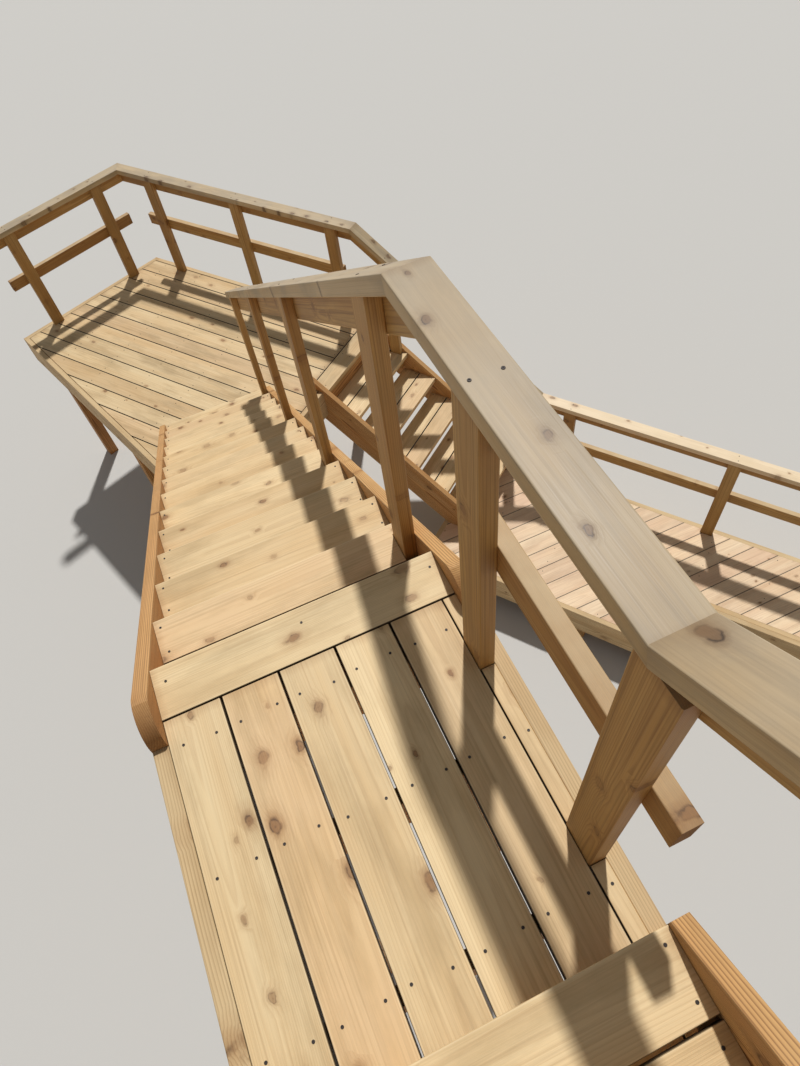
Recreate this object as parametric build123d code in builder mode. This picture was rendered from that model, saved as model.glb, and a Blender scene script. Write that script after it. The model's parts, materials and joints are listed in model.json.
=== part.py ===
"""Wooden deck stairs: three flights joined by two landings, a lower boardwalk and post and cap handrails.

Millimetres, +Z up, the ground at Z = 0. Each walk has a plan plane whose X runs down the walk from the
front edge of the nosing board at the head of its flight and whose Y runs to the left of a person who
walks down. Side profiles are drawn in X and height, on planes that stand along the walk.
"""
from build123d import *
import os
from math import atan, atan2, cos, hypot, radians, sin, tan

# Dressed timber sections
timber = 38.0
rail_depth = 89.0
board_width = 140.0
joist_depth = 184.0
rim_depth = 235.0
stringer_depth = 286.0
leg_size = 89.0
cleat_size = 38.0

# Gaps between boards
board_gap = 5.0
landing_board_gap = 7.0
platform_board_gap = 3.0
board_end_gap = 4.0
tread_gap = 8.0
tread_end_gap = 1.0
notch_gap = 2.0
least_web = 15.0

# Levels
platform_level = 400.0
lower_rise = 180.0
lower_run = 243.0
lower_risers = 6
middle_rise = 165.0
middle_run = 243.0
middle_risers = 14
middle_foot = (middle_risers - 1) * middle_run
upper_treads = 6
landing_level = platform_level + lower_risers * lower_rise
upper_level = landing_level + middle_risers * middle_rise

# Handrails
rail_height = 880.0
mid_rail_foot = 405.0
post_width = rail_depth
post_below_tread = 150.0
cap_overhang = (rail_depth - 2 * timber) / 2

# Stringers
stringer_lip = 5.0
upper_stringer_lip = 20.0
stringer_round = 75.0
nosing_overhang = 27.0

# Upper landing, along the walk from the nosing front
upper_clear = 760.0
upper_rim_end = -204.0
upper_first_nosing = -968.0
upper_landing_end = -1211.0
upper_post_starts = (-818.0, -351.0)
upper_joist_starts = (upper_landing_end + timber, -880.0, -540.0)
upper_leg_starts = (upper_landing_end + 2 * timber, -445.0)
upper_mitres = (-751.0, -27.0)
upper_mid_rail = (-888.0, -240.0)

# Upper flight beyond its top tread
upper_head_length = 299.0
upper_rail_end = -2487.0
upper_flight_post_starts = (-1787.0, -2470.0)

# Middle flight
middle_post_starts = (114.0, 1070.0, 2024.0, 3019.0)
middle_rail_end = 3208.0

# Lower landing and the walk that turns back from it; the turn is placed from the foot of the middle flight
turn_angle = -53.0
turn_aside = 1461.0
turn_ahead = 393.0
lower_clear = 762.0
lower_rim_end = -140.0
lower_far_length = 2389.0
lower_left_length = 1390.0
lower_left_angle = 75.0
lower_near_angle = 17.2
nosing_joist_starts = (-130.0, -65.0)

# Insets of posts, rails, joists and legs from the two ends of their edge of the lower landing
far_post_insets = (309.0, 333.0)
left_post_insets = (240.0, 363.0)
left_rail_inset = 84.0
far_mid_insets = (177.0, 250.0)
left_mid_insets = (91.0, 144.0)
joist_insets = (151.0, 638.0)
far_leg_insets = (199.0, 440.0)
right_leg_insets = (130.0, 180.0)
near_leg_inset = 40.0
near_leg_share = 0.414

# Lower flight posts and the bends of its rail, then the platform
lower_flight_post_starts = (110.0, 1118.0)
lower_mitres = (-97.0, 1403.0)
platform_start = 945.0
platform_step = 2895.0
platform_end = 5362.0
platform_width = 1170.0
boardwalk_width = 734.0
platform_post_starts = (1605.0, 2815.0, 4025.0, 5235.0)
platform_joist_starts = (1330.0, 1840.0, 2350.0, 2910.0, 3380.0, 3890.0, 4400.0, 4900.0)
platform_leg_starts = (983.0, 2220.0, 3430.0, 4640.0)
platform_near_leg_starts = (983.0, 2220.0, 2768.0)
boardwalk_near_leg_starts = (3430.0, 4640.0)
platform_mid_rail_start = 1480.0
platform_board_joint = 2529.0



def spread(first, last, count):
    """Evenly spaced places from first to last."""
    return [first + (last - first) * index / (count - 1) for index in range(count)]


# Starts of the posts, rails, joists and legs on the lower landing's far and left edges
lower_post_starts = spread(far_post_insets[0] - lower_far_length, -far_post_insets[1], 3)
left_post_starts = (left_post_insets[0], lower_left_length - left_post_insets[1])
left_rail_end = lower_left_length - left_rail_inset
far_mid_rail = (far_mid_insets[0] - lower_far_length, -far_mid_insets[1])
left_mid_rail = (left_mid_insets[0], lower_left_length - left_mid_insets[1])
lower_joist_starts = spread(joist_insets[0] - lower_far_length, -joist_insets[1], 5)
far_leg_starts = spread(far_leg_insets[0] - lower_far_length, -far_leg_insets[1], 3)

# Plan planes of the two walks, at each level
descent = 90.0
turn_place = (turn_aside, middle_foot + turn_ahead)


def walk_plane(x, y, angle, level):
    """A level plane whose X runs down the walk."""
    return Plane(origin=(x, y, level), x_dir=(cos(radians(angle)), sin(radians(angle)), 0), z_dir=(0, 0, 1))


upper_plan = walk_plane(0, 0, descent, upper_level)
landing_plan = walk_plane(*turn_place, turn_angle, landing_level)
platform_plan = walk_plane(*turn_place, turn_angle, platform_level)


def side_plane(plan, left):
    """An upright plane along the walk, through a lateral place; a positive extrusion goes to the right."""
    origin = plan.from_local_coords((0, left, 0))
    return Plane(origin=origin, x_dir=plan.x_dir, z_dir=-plan.y_dir)


def strip(x0, x1, y0, y1, mode=Mode.ADD):
    """A rectangle between two corners, in the sketch that is open."""
    with Locations(((x0 + x1) / 2, (y0 + y1) / 2)):
        Rectangle(abs(x1 - x0), abs(y1 - y0), mode=mode)


def outline(points, mode=Mode.ADD):
    """A closed outline through the points, in the sketch that is open."""
    with BuildLine() as edge:
        Polyline(*points, close=True)
    make_face(edge.edges(), mode=mode)


def slab(plan, points, depth):
    """A level piece below the plan, in the part that is open."""
    with BuildSketch(plan) as top:
        outline(points)
    extrude(top.sketch, amount=-depth)


def block(plan, x0, x1, y0, y1, z0, z1):
    """A square-cut piece between two corners of a walk's own frame, in the part that is open."""
    with BuildSketch(plan.offset(z1)) as top:
        strip(x0, x1, y0, y1)
    extrude(top.sketch, amount=z0 - z1)


def upright(plan, left, width, points):
    """A side profile as thick as width, from its left face, in the part that is open."""
    with BuildSketch(side_plane(plan, left)) as side:
        outline(points)
    extrude(side.sketch, amount=width)


def inset_outline(corners, insets):
    """The outline moved in from each edge by that edge's own inset; corners run anticlockwise."""
    count = len(corners)
    moved = []
    for index in range(count):
        before = corners[index - 1]
        here = corners[index]
        after = corners[(index + 1) % count]
        into = atan2(here[1] - before[1], here[0] - before[0])
        away = atan2(after[1] - here[1], after[0] - here[0])
        first, second = insets[index - 1], insets[index]
        turn = sin(away - into)
        x = here[0] + (first * cos(away) - second * cos(into)) / turn
        y = here[1] + (first * sin(away) - second * sin(into)) / turn
        moved.append((x, y))
    return moved


def lowered(points, depth):
    """A rail's top line moved square down by depth, mitred at its bends, with plumb ends."""
    falls = [atan2(a[1] - b[1], b[0] - a[0]) for a, b in zip(points, points[1:])]
    moved = [(points[0][0], points[0][1] - depth / cos(falls[0]))]
    for (x, z), into, away in zip(points[1:-1], falls, falls[1:]):
        share = depth / (1 + cos(away - into))
        moved.append((x - share * (sin(into) + sin(away)), z - share * (cos(into) + cos(away))))
    moved.append((points[-1][0], points[-1][1] - depth / cos(falls[-1])))
    return moved


def height_at(points, x):
    """Height of a line of points at x."""
    for (xa, za), (xb, zb) in zip(points, points[1:]):
        if xa <= x <= xb:
            return za + (zb - za) * (x - xa) / (xb - xa)


def post_profile(line, start, foot):
    """A rail post from its foot to the underside of the cap rail."""
    end = start + post_width
    bends = [point for point in line if start < point[0] < end]
    tops = [(start, height_at(line, start)), *bends, (end, height_at(line, end))]
    return [(end, foot), *reversed(tops), (start, foot)]


# Rail lines, along each walk and above its own landing
middle_slope = middle_rise / middle_run
near_mitre, far_mitre = upper_mitres
main_line = [
    (upper_rail_end, rail_height + (near_mitre - upper_rail_end) * middle_slope),
    (near_mitre, rail_height),
    (far_mitre, rail_height),
    (middle_rail_end, rail_height - (middle_rail_end - far_mitre) * middle_slope),
]
platform_drop = lower_risers * lower_rise
landing_mitre, platform_mitre = lower_mitres
turned_line = [
    (-lower_far_length - rail_depth, rail_height),
    (landing_mitre, rail_height),
    (platform_mitre, rail_height - platform_drop),
    (platform_end, rail_height - platform_drop),
]
main_under = lowered(main_line, timber)
main_sub = lowered(main_line, timber + rail_depth)
turned_under = lowered(turned_line, timber)
turned_sub = lowered(turned_line, timber + rail_depth)

pieces = {}


def keep(name, builder):
    """Files a finished piece under its node name."""
    builder.part.label = name
    pieces[name] = builder.part


def rail_run(plan, left, width, upper, lower, index):
    """One straight length of a rail between two bends, in the part that is open."""
    upright(plan, left, width, [upper[index], upper[index + 1], lower[index + 1], lower[index]])


def stringer_profile(rise, run, lip, head, foot, floor, rounded):
    """A closed stringer's side face: plumb head and foot cuts and a level seat on the floor."""
    slope = rise / run
    depth = stringer_depth / cos(atan(slope))
    outline([
        (head, lip - slope * head),
        (foot, lip - slope * foot),
        (foot, floor),
        ((lip - depth - floor) / slope, floor),
        (head, lip - depth - slope * head),
    ])
    if rounded:
        crown = vertices().sort_by(Axis.Y)[-1]
        fillet(crown, radius=stringer_round)


def flight_stringers(plan, centre, clear, profile):
    """Both stringers of a flight, in the part that is open."""
    for left in (centre + clear / 2 + timber, centre - clear / 2):
        with BuildSketch(side_plane(plan, left)) as side:
            stringer_profile(*profile)
        extrude(side.sketch, amount=timber)


def notch_ends(start, front):
    """A tread board's notch around a post, run out through the edge where too thin a web would stay."""
    back = front - board_width
    begin = start - notch_gap
    end = start + post_width + notch_gap
    if back < begin < back + least_web:
        begin = back
    if front - least_web < end < front:
        end = front
    return begin, end


def flight_treads(plan, centre, clear, rise, run, numbers, posts, post_side, backstop):
    """Two-board treads, none behind the backstop and notched at the rail posts, in the part that is open."""
    reach = clear / 2 - tread_end_gap
    for number in numbers:
        front = number * run
        with BuildSketch(plan.offset(-number * rise)) as tread:
            strip(front - board_width, front, centre - reach, centre + reach)
            back = front - board_width - tread_gap
            strip(max(back - board_width, backstop), back, centre - reach, centre + reach)
            for start in posts:
                if front - board_width < start + post_width / 2 < front:
                    inner = centre + post_side * (clear / 2 - timber - notch_gap)
                    outer = centre + post_side * clear / 2
                    strip(*notch_ends(start, front), inner, outer, mode=Mode.SUBTRACT)
        extrude(tread.sketch, amount=-timber)


def flight_cleats(plan, centre, clear, rise, run, numbers, posts, post_side, shortest):
    """Bearers under both ends of each tread, in the part that is open."""
    for number in numbers:
        front = number * run
        with BuildSketch(plan.offset(-number * rise - timber)) as bearers:
            for side in (-1, 1):
                end = front - timber / 2
                for start in posts:
                    if side == post_side and front - board_width < start + post_width / 2 < front:
                        end = start
                begin = max(front - 2 * board_width, shortest)
                strip(begin, end, centre + side * clear / 2, centre + side * (clear / 2 - cleat_size))
        extrude(bearers.sketch, amount=-cleat_size)


# Upper landing
half = upper_clear / 2
rail_face = -half
post_left = rail_face + timber
deck_start = upper_landing_end + timber
joint = -board_width - board_gap

with BuildPart() as upper_boards:
    with BuildSketch(upper_plan):
        for number in range(5):
            left = half - tread_end_gap - number * (board_width + board_gap)
            strip(deck_start, joint, left - board_width, left)
        stops = [deck_start]
        for start in upper_post_starts:
            stops += [start - notch_gap, start + post_width + notch_gap]
        stops.append(joint)
        for begin, end in zip(stops[::2], stops[1::2]):
            strip(begin, end, rail_face, post_left - notch_gap)
        strip(-board_width, 0, -half + tread_end_gap, half - tread_end_gap)
    extrude(amount=-timber)
keep("upper_landing_boards", upper_boards)

with BuildPart() as upper_side_rims:
    for right in (-half - timber, half):
        block(upper_plan, upper_landing_end, upper_rim_end, right, right + timber, -rim_depth, 0)
keep("upper_landing_side_rims", upper_side_rims)

with BuildPart() as upper_end_rim:
    block(upper_plan, upper_landing_end, deck_start, -half, half, -rim_depth, 0)
keep("upper_landing_end_rim", upper_end_rim)

with BuildPart() as upper_joists:
    first_joist = upper_rim_end - timber
    joint_joist = joint - timber / 2
    nosing_joist = -nosing_overhang - timber
    for start in (*upper_joist_starts, first_joist, joint_joist, nosing_joist):
        block(upper_plan, start, start + timber, -half, half, -timber - joist_depth, -timber)
keep("upper_landing_joists", upper_joists)

# Upper flight, from its top tread down to the landing
steps_up = upper_treads - 1
top_nosing = upper_first_nosing - steps_up * middle_run
upper_drop = upper_treads * middle_rise
head_plan = walk_plane(0, top_nosing, descent, upper_level + upper_drop)
head_line = [(x - top_nosing, z - upper_drop) for x, z in main_under]
head_posts = [start - top_nosing for start in upper_flight_post_starts]
tread_post = head_posts[:1]
upper_head = -upper_head_length
upper_numbers = range(upper_treads)
upper_foot = steps_up * middle_run
upper_shape = (middle_rise, middle_run, upper_stringer_lip, upper_head, upper_foot, -upper_drop, False)
upper_set = (head_plan, 0, upper_clear, middle_rise, middle_run, upper_numbers, tread_post, -1)

with BuildPart() as upper_stringers:
    flight_stringers(head_plan, 0, upper_clear, upper_shape)
keep("upper_flight_stringers", upper_stringers)

with BuildPart() as upper_flight_treads:
    flight_treads(*upper_set, upper_head)
keep("upper_flight_treads", upper_flight_treads)

with BuildPart() as upper_cleats:
    flight_cleats(*upper_set, upper_head + leg_size)
keep("upper_flight_cleats", upper_cleats)

with BuildPart() as upper_legs:
    for right in (-half, half - leg_size):
        for start in upper_leg_starts:
            block(upper_plan, start, start + leg_size, right, right + leg_size, -upper_level, -timber)
        foot = -upper_level - upper_drop
        block(head_plan, upper_head, upper_head + leg_size, right, right + leg_size, foot, -timber)
keep("upper_legs", upper_legs)

with BuildPart() as upper_posts:
    post_top = rail_height - timber
    for start in upper_post_starts:
        block(upper_plan, start, start + post_width, rail_face, post_left, -timber - joist_depth, post_top)
    number = round((head_posts[0] + board_width) / middle_run)
    foot = -number * middle_rise - post_below_tread
    upright(head_plan, post_left, timber, post_profile(head_line, head_posts[0], foot))
    upright(head_plan, post_left, timber, post_profile(head_line, head_posts[1], 0))
keep("upper_rail_posts", upper_posts)

# Middle flight
tread_backstop = -nosing_overhang + tread_end_gap
middle_drop = middle_risers * middle_rise
middle_numbers = range(1, middle_risers)
middle_shape = (middle_rise, middle_run, stringer_lip, upper_rim_end, middle_foot, -middle_drop, True)
middle_set = (upper_plan, 0, upper_clear, middle_rise, middle_run, middle_numbers, middle_post_starts, -1)

with BuildPart() as middle_stringers:
    flight_stringers(upper_plan, 0, upper_clear, middle_shape)
keep("middle_flight_stringers", middle_stringers)

with BuildPart() as middle_treads:
    flight_treads(*middle_set, tread_backstop)
keep("middle_flight_treads", middle_treads)

with BuildPart() as middle_cleats:
    flight_cleats(*middle_set, 0)
keep("middle_flight_cleats", middle_cleats)

with BuildPart() as middle_posts:
    for start in middle_post_starts:
        number = round((start + board_width) / middle_run)
        foot = -number * middle_rise - post_below_tread
        upright(upper_plan, post_left, timber, post_profile(main_under, start, foot))
keep("middle_flight_posts", middle_posts)

# Cap and side rails of the upper walk
for index, name in enumerate(("upper_flight", "upper_landing", "middle_flight")):
    with BuildPart() as cap_rail:
        rail_run(upper_plan, post_left + cap_overhang, rail_depth, main_line, main_under, index)
    keep(name + "_cap_rail", cap_rail)
    with BuildPart() as side_rails:
        rail_run(upper_plan, rail_face, timber, main_under, main_sub, index)
        if name == "upper_landing":
            rail_top = mid_rail_foot + rail_depth
            block(upper_plan, *upper_mid_rail, rail_face - timber, rail_face, mid_rail_foot, rail_top)
    keep(name + "_side_rails", side_rails)

# Lower landing: a four-sided deck whose boards run with the lower flight
rim_face = -nosing_overhang
rim_back = rim_face - timber
left_turn = radians(lower_left_angle)
near_turn = radians(lower_near_angle)
lower_centre = -timber - lower_clear / 2
near_face = lower_centre - lower_clear / 2
stringer_face = near_face - timber
landing_joint = -board_width - landing_board_gap


def beside_edge(corner, along, into, start, length, depth0, depth1):
    """Corners of a piece that lies along a slanting edge of the landing, from one of its corners."""
    end = start + length
    corners = []
    for a, d in ((start, depth0), (start, depth1), (end, depth1), (end, depth0)):
        corners.append((corner[0] + a * along[0] + d * into[0], corner[1] + a * along[1] + d * into[1]))
    return corners


def beside_left_edge(start, length, depth0, depth1):
    """The same along the left edge, from the back corner."""
    along = (-cos(left_turn), -sin(left_turn))
    into = (sin(left_turn), -cos(left_turn))
    return beside_edge(back_left, along, into, start, length, depth0, depth1)


def beside_near_edge(start, length, depth0, depth1):
    """The same along the near edge, from the front left corner."""
    along = (cos(near_turn), -sin(near_turn))
    into = (sin(near_turn), cos(near_turn))
    return beside_edge(front_left, along, into, start, length, depth0, depth1)


back_left = (-lower_far_length, 0.0)
front_left = beside_left_edge(lower_left_length, 0, 0, 0)[0]
front_right = (rim_face, front_left[1] - (rim_face - front_left[0]) * tan(near_turn))
landing_outline = [front_left, front_right, (rim_face, 0.0), back_left]
landing_inner = inset_outline(landing_outline, (timber,) * 4)
landing_deck = inset_outline(landing_outline, (timber + board_end_gap,) * 4)
landing_bearer = inset_outline(landing_outline, (2 * timber, timber, timber, timber))

right_leg_starts = (front_right[1] + right_leg_insets[0], stringer_face - right_leg_insets[1])
near_length = hypot(front_right[0] - front_left[0], front_right[1] - front_left[1])
near_leg_starts = (near_leg_inset, near_leg_share * near_length)

with BuildPart() as landing_boards:
    with BuildSketch(landing_plan):
        for number in range(14):
            left = -timber - landing_board_gap - number * (board_width + landing_board_gap)
            strip(front_left[0], rim_face, left - board_width, left)
        outline(landing_deck, mode=Mode.INTERSECT)
        strip(landing_joint, 0, near_face - notch_gap, 0, mode=Mode.SUBTRACT)
        around_head = (stringer_face - notch_gap, near_face + notch_gap)
        strip(lower_rim_end - notch_gap, 0, *around_head, mode=Mode.SUBTRACT)
        for start in lower_post_starts:
            begin = start - notch_gap
            strip(begin, start + post_width + notch_gap, -2 * timber - notch_gap, 0, mode=Mode.SUBTRACT)
        for start in left_post_starts:
            begin = start - notch_gap
            notch = beside_left_edge(begin, post_width + 2 * notch_gap, 0, 2 * timber + notch_gap)
            outline(notch, mode=Mode.SUBTRACT)
        strip(-board_width, 0, near_face + tread_end_gap, -timber - tread_end_gap)
    extrude(amount=-timber)
keep("lower_landing_boards", landing_boards)

with BuildPart() as landing_long_rims:
    far_rim = [(lower_rim_end, 0.0), back_left, landing_inner[3], (lower_rim_end, -timber)]
    slab(landing_plan, far_rim, rim_depth)
    slab(landing_plan, [front_left, front_right, landing_inner[1], landing_inner[0]], rim_depth)
keep("lower_landing_long_rims", landing_long_rims)

with BuildPart() as landing_short_rims:
    slab(landing_plan, [back_left, front_left, landing_inner[0], landing_inner[3]], rim_depth)
    right_rim = [front_right, (rim_face, stringer_face), (rim_back, stringer_face), landing_inner[1]]
    slab(landing_plan, right_rim, rim_depth)
keep("lower_landing_short_rims", landing_short_rims)

# The inner rim is three bearers under the board ends, on the inside of the near, left and right rims
with BuildPart() as landing_inner_rim:
    under_boards = landing_plan.offset(-timber)
    near_bearer = [landing_inner[0], landing_inner[1], landing_bearer[1], landing_bearer[0]]
    slab(under_boards, near_bearer, joist_depth)
    behind_post = left_post_starts[0] + post_width
    left_bearer = beside_left_edge(behind_post, left_post_starts[1] - behind_post, timber, 2 * timber)
    slab(under_boards, left_bearer, joist_depth)
    behind_leg = right_leg_starts[0] + leg_size
    block(under_boards, rim_back - timber, rim_back, behind_leg, right_leg_starts[1], -joist_depth, 0)
keep("lower_landing_inner_rim", landing_inner_rim)

with BuildPart() as landing_joists:
    with BuildSketch(landing_plan.offset(-timber)):
        for start in lower_joist_starts:
            strip(start, start + timber, front_right[1], 0)
        strip(lower_rim_end - timber, lower_rim_end, right_leg_starts[1] + leg_size, 0)
        outline(landing_bearer, mode=Mode.INTERSECT)
        for start in nosing_joist_starts:
            strip(start, start + timber, near_face, -timber)
    extrude(amount=-joist_depth)
keep("lower_landing_joists", landing_joists)

with BuildPart() as landing_legs:
    for start in far_leg_starts:
        block(landing_plan, start, start + leg_size, -timber - leg_size, -timber, -landing_level, -timber)
    for start in right_leg_starts:
        block(landing_plan, rim_back - leg_size, rim_back, start, start + leg_size, -landing_level, -timber)
    for start in near_leg_starts:
        corners = beside_near_edge(start, leg_size, 2 * timber, 2 * timber + leg_size)
        slab(landing_plan.offset(-timber), corners, landing_level - timber)
keep("lower_landing_legs", landing_legs)

with BuildPart() as landing_posts:
    for start in lower_post_starts:
        upright(landing_plan, -timber, timber, post_profile(turned_under, start, -timber - joist_depth))
    for start in left_post_starts:
        corners = beside_left_edge(start, post_width, timber, 2 * timber)
        slab(landing_plan.offset(rail_height - timber), corners, rail_height + joist_depth)
keep("lower_landing_posts", landing_posts)

# Lower flight
lower_numbers = range(1, lower_risers)
lower_foot = (lower_risers - 1) * lower_run
lower_shape = (lower_rise, lower_run, stringer_lip, lower_rim_end, lower_foot, -platform_drop, False)
lower_place = (landing_plan, lower_centre, lower_clear)
lower_set = (*lower_place, lower_rise, lower_run, lower_numbers, lower_flight_post_starts, 1)

with BuildPart() as lower_stringers:
    flight_stringers(*lower_place, lower_shape)
keep("lower_flight_stringers", lower_stringers)

with BuildPart() as lower_treads:
    flight_treads(*lower_set, tread_backstop)
keep("lower_flight_treads", lower_treads)

with BuildPart() as lower_cleats:
    flight_cleats(*lower_set, 0)
keep("lower_flight_cleats", lower_cleats)

with BuildPart() as lower_posts:
    for start in lower_flight_post_starts:
        number = round((start + board_width) / lower_run)
        foot = -number * lower_rise - post_below_tread
        upright(landing_plan, -timber, timber, post_profile(turned_under, start, foot))
keep("lower_flight_posts", lower_posts)

# Platform: wide at the foot of the flight and narrower as a boardwalk, with boards laid at a slant
platform_outline = [
    (platform_start, -platform_width),
    (platform_step, -platform_width),
    (platform_step, -boardwalk_width),
    (platform_end, -boardwalk_width),
    (platform_end, 0.0),
    (platform_start, 0.0),
]
platform_inner = inset_outline(platform_outline, (timber, timber, 2 * timber, timber, timber, timber))
platform_split = inset_outline(platform_outline, (timber, timber / 2, timber, timber / 2, timber, timber))

with BuildPart() as platform_boards:
    with BuildSketch(platform_plan):
        with Locations(Location((platform_board_joint, 0), -turn_angle)):
            with GridLocations(0, board_width + platform_board_gap, 1, 40):
                Rectangle(2 * platform_end, board_width)
        outline(platform_inner, mode=Mode.INTERSECT)
        for start in platform_post_starts:
            begin = start - notch_gap
            strip(begin, start + post_width + notch_gap, -2 * timber - notch_gap, 0, mode=Mode.SUBTRACT)
    extrude(amount=-timber)
keep("platform_boards", platform_boards)


def platform_rim(index, inside):
    """One mitred rim along an edge of the platform, in the part that is open."""
    after = (index + 1) % len(platform_outline)
    corners = [platform_outline[index], platform_outline[after], inside[after], inside[index]]
    slab(platform_plan, corners, rim_depth)


with BuildPart() as platform_long_rims:
    platform_rim(0, platform_inner)
    platform_rim(2, platform_split)
    platform_rim(4, platform_inner)
keep("platform_long_rims", platform_long_rims)

with BuildPart() as platform_cross_rims:
    platform_rim(1, platform_inner)
    platform_rim(3, platform_inner)
    platform_rim(5, platform_inner)
keep("platform_cross_rims", platform_cross_rims)

with BuildPart() as boardwalk_inner_rim:
    corners = [platform_split[2], platform_split[3], platform_inner[3], platform_inner[2]]
    slab(platform_plan, corners, rim_depth)
keep("boardwalk_inner_rim", boardwalk_inner_rim)

with BuildPart() as platform_joists:
    with BuildSketch(platform_plan.offset(-timber)):
        for start in platform_joist_starts:
            strip(start, start + timber, -platform_width, 0)
        outline(platform_inner, mode=Mode.INTERSECT)
    extrude(amount=-joist_depth)
keep("platform_joists", platform_joists)

with BuildPart() as platform_legs:
    leg_lines = (
        (platform_leg_starts, -timber - leg_size),
        (platform_near_leg_starts, timber - platform_width),
        (boardwalk_near_leg_starts, 2 * timber - boardwalk_width),
    )
    for starts, right in leg_lines:
        for start in starts:
            block(platform_plan, start, start + leg_size, right, right + leg_size, -platform_level, -timber)
keep("platform_legs", platform_legs)

with BuildPart() as platform_posts:
    for start in platform_post_starts:
        foot = -platform_drop - timber - joist_depth
        upright(landing_plan, -timber, timber, post_profile(turned_under, start, foot))
keep("platform_posts", platform_posts)

# Cap and side rails of the turned walk; those that meet at the landing's back corner are mitred there
cap_outside = inset_outline(landing_outline, (-cap_overhang,) * 4)[3]
cap_inside = inset_outline(landing_outline, (2 * timber + cap_overhang,) * 4)[3]
rim_inside = inset_outline(landing_outline, (timber,) * 4)[3]


def left_edge_rail(outside, inside, depth0, depth1, top, height):
    """A level rail along the left edge with its corner mitre, in the part that is open."""
    cut = beside_left_edge(left_rail_end, 0, depth0, depth1)
    slab(landing_plan.offset(top), [outside, cut[0], cut[1], inside], height)


def far_edge_rail(outside, inside, left, width, upper, lower, index):
    """A rail along the far edge, which keeps only what is right of the corner mitre."""
    rail_run(landing_plan, left, width, upper, lower, index)
    if index == 0:
        with BuildSketch(landing_plan.offset(-landing_level)) as keeper:
            outline([outside, inside, (platform_end, inside[1]), (platform_end, outside[1])])
        extrude(keeper.sketch, amount=2 * landing_level, mode=Mode.INTERSECT)


with BuildPart() as left_cap_rail:
    left_edge_rail(cap_outside, cap_inside, -cap_overhang, 2 * timber + cap_overhang, rail_height, timber)
keep("lower_landing_left_cap_rail", left_cap_rail)

with BuildPart() as left_side_rails:
    left_edge_rail(back_left, rim_inside, 0, timber, rail_height - timber, rail_depth)
    start, end = left_mid_rail
    mid_rail = beside_left_edge(start, end - start, 0, timber)
    slab(landing_plan.offset(mid_rail_foot + rail_depth), mid_rail, rail_depth)
keep("lower_landing_left_side_rails", left_side_rails)

for index, name in enumerate(("lower_landing_far", "lower_flight", "platform")):
    with BuildPart() as cap_rail:
        far_edge_rail(cap_outside, cap_inside, cap_overhang, rail_depth, turned_line, turned_under, index)
    keep(name + "_cap_rail", cap_rail)
    with BuildPart() as side_rails:
        far_edge_rail(back_left, rim_inside, 0, timber, turned_under, turned_sub, index)
        rail_top = mid_rail_foot + rail_depth
        if name == "lower_landing_far":
            block(landing_plan, *far_mid_rail, -timber, 0, mid_rail_foot, rail_top)
        if name == "platform":
            block(platform_plan, platform_mid_rail_start, platform_end, -timber, 0, mid_rail_foot, rail_top)
    keep(name + "_side_rails", side_rails)

# The whole stair stands with its base centre at the origin
boxes = [piece.bounding_box() for piece in pieces.values()]
middle_x = (min(box.min.X for box in boxes) + max(box.max.X for box in boxes)) / 2
middle_y = (min(box.min.Y for box in boxes) + max(box.max.Y for box in boxes)) / 2
print("base centre before the shift", round(middle_x, 3), round(middle_y, 3))

os.makedirs("parts", exist_ok=True)
for name, piece in pieces.items():
    placed = piece.moved(Location((-middle_x, -middle_y, 0)))
    placed.label = name
    export_step(placed, f"parts/{name}.step")
print(len(pieces), "pieces")
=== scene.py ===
import json
import math
import random

import bmesh
import bpy
from mathutils import Matrix, Vector
from mathutils.bvhtree import BVHTree


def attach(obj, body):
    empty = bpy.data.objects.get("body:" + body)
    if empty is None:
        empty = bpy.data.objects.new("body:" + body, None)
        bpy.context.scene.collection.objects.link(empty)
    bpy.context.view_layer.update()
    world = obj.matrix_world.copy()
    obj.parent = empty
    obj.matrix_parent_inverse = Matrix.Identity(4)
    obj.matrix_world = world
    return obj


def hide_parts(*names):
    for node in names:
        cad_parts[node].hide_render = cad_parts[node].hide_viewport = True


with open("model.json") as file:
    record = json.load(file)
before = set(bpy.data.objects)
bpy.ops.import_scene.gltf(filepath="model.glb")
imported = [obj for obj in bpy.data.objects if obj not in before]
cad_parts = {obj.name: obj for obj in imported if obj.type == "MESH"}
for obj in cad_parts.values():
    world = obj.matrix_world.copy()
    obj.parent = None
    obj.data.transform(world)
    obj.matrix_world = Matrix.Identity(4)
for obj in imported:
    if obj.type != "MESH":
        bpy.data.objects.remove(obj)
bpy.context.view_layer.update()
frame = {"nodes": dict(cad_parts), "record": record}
print("frame loaded,", len(frame["nodes"]), "nodes")


def linearColour(hexText):
    # the inverse of the sRGB curve, which is straight near black
    channels = [int(hexText[i:i + 2], 16) / 255 for i in (1, 3, 5)]
    return [c / 12.92 if c <= 0.04045 else ((c + 0.055) / 1.055) ** 2.4 for c in channels] + [1.0]


def addNode(tree, kind, inputs=None, **settings):
    # a source may be a value, a socket, or a node, which gives its first output
    node = tree.nodes.new(kind)
    for name, value in settings.items():
        setattr(node, name, value)
    for name, source in (inputs or {}).items():
        if isinstance(source, bpy.types.Node):
            source = next(socket for socket in source.outputs if socket.enabled)
        if isinstance(source, bpy.types.NodeSocket):
            tree.links.new(source, node.inputs[name])
        else:
            node.inputs[name].default_value = source
    return node


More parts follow.
